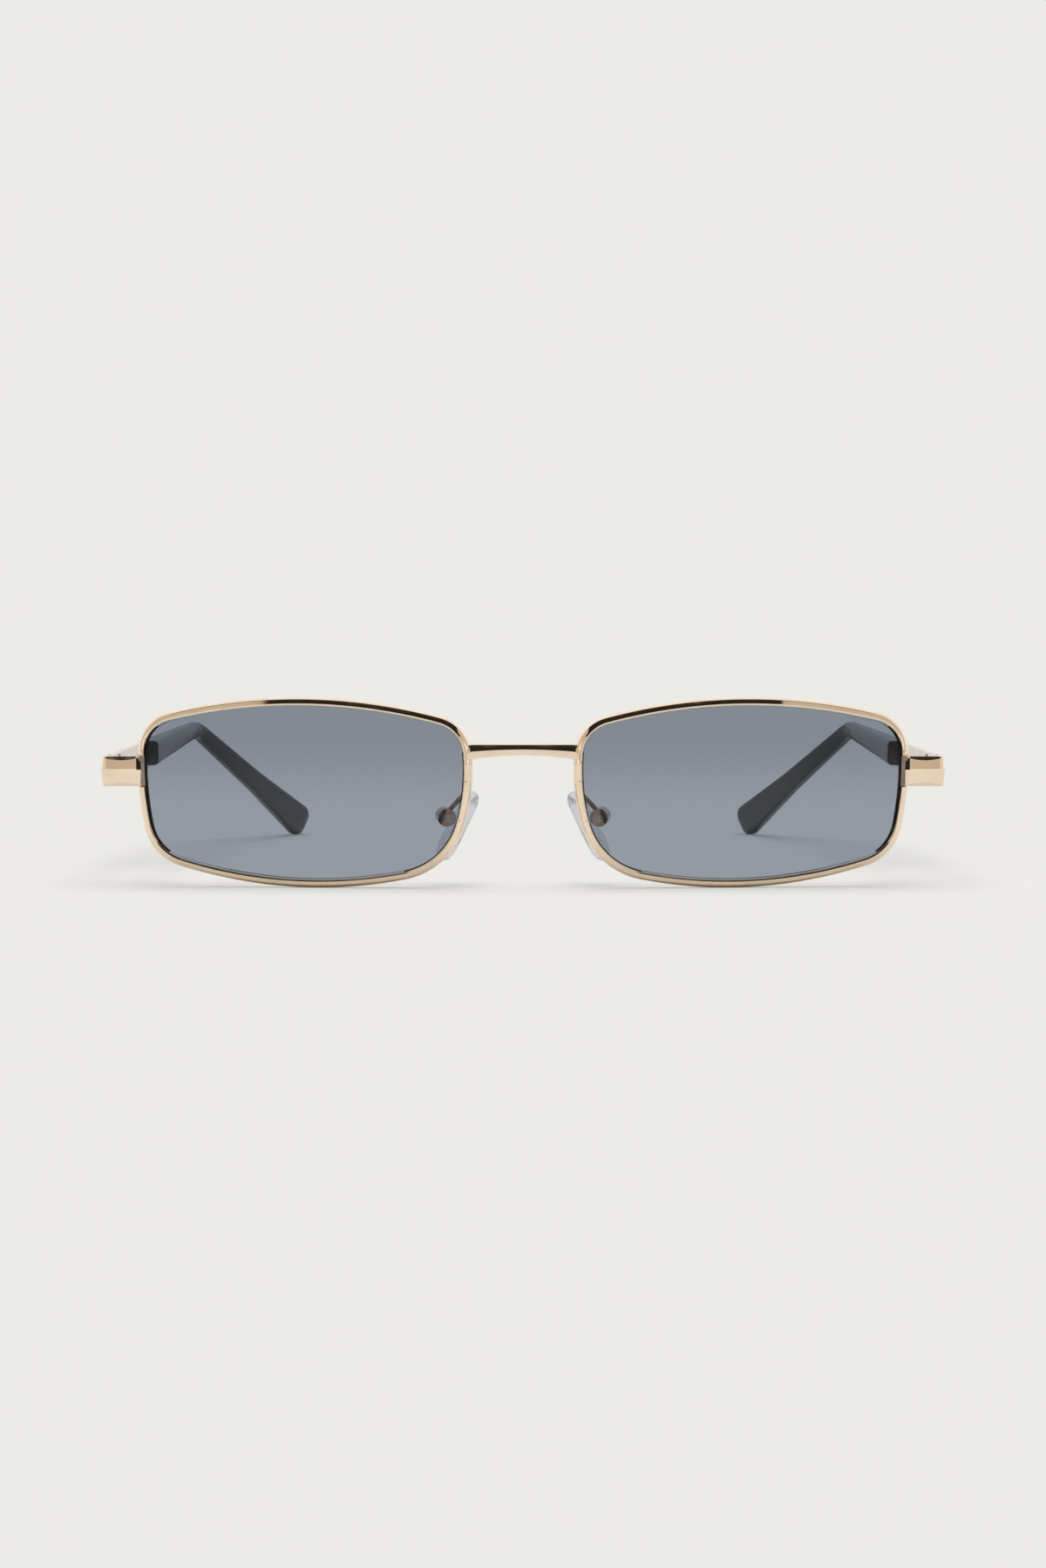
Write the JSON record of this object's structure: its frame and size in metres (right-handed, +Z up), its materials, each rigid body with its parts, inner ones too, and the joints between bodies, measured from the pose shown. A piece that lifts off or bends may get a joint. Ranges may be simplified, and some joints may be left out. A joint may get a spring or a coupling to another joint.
{
  "type": "sunglasses",
  "caption": "Narrow rectangular sunglasses with thin gold metal rims, grey lenses, clear nose pads and folding temples with black plastic tips.",
  "frame": {"origin": "middle of the footprint, on the surface that the rims and the temple tips rest on", "axes": "+X towards the wearer's left, +Y back along the temples, +Z up"},
  "size_m": [0.1416, 0.1346, 0.0319],
  "materials": {
    "gold_plate": "polished",
    "screw_steel": "polished",
    "grey_lens": "clear tinted",
    "clear_pad": "clear",
    "black_sleeve": "satin"
  },
  "bodies": {
    "front": {"bridge": "gold_plate", "right_rim": "gold_plate", "right_lens": "grey_lens", "right_endpiece": "gold_plate", "right_closing_block_upper": "gold_plate", "right_closing_block_lower": "gold_plate", "right_rim_screw": "screw_steel", "right_front_hinge": "gold_plate", "right_hinge_screw": "screw_steel", "right_pad_box": "gold_plate", "right_pad_screw": "screw_steel", "right_pad_arm": "gold_plate", "left_rim": "gold_plate", "left_lens": "grey_lens", "left_endpiece": "gold_plate", "left_closing_block_upper": "gold_plate", "left_closing_block_lower": "gold_plate", "left_rim_screw": "screw_steel", "left_front_hinge": "gold_plate", "left_hinge_screw": "screw_steel", "left_pad_box": "gold_plate", "left_pad_screw": "screw_steel", "left_pad_arm": "gold_plate"},
    "right_temple": {"right_temple_arm": "gold_plate", "right_temple_sleeve": "black_sleeve", "right_temple_hinge": "gold_plate"},
    "left_temple": {"left_temple_arm": "gold_plate", "left_temple_sleeve": "black_sleeve", "left_temple_hinge": "gold_plate"},
    "right_pad": {"right_nose_pad": "clear_pad"},
    "left_pad": {"left_nose_pad": "clear_pad"}
  },
  "joints": [
    {"name": "right_temple_fold", "type": "hinge", "parent": "front", "child": "right_temple", "pos_m": [-0.06844, -0.05605, 0.01942], "axis": [0, 0, -1], "range_deg": [0, 71]},
    {"name": "left_temple_fold", "type": "hinge", "parent": "front", "child": "left_temple", "pos_m": [0.06844, -0.05605, 0.01942], "axis": [0, 0, 1], "range_deg": [0, 80]},
    {"name": "right_pad_rock", "type": "hinge", "parent": "front", "child": "right_pad", "pos_m": [-0.01301, -0.05905, 0.01163], "axis": [-0.2306, 0.9659, 0.1175], "range_deg": [-8, 8]},
    {"name": "left_pad_rock", "type": "hinge", "parent": "front", "child": "left_pad", "pos_m": [0.01301, -0.05905, 0.01163], "axis": [-0.2306, -0.9659, -0.1175], "range_deg": [-8, 8]}
  ]
}
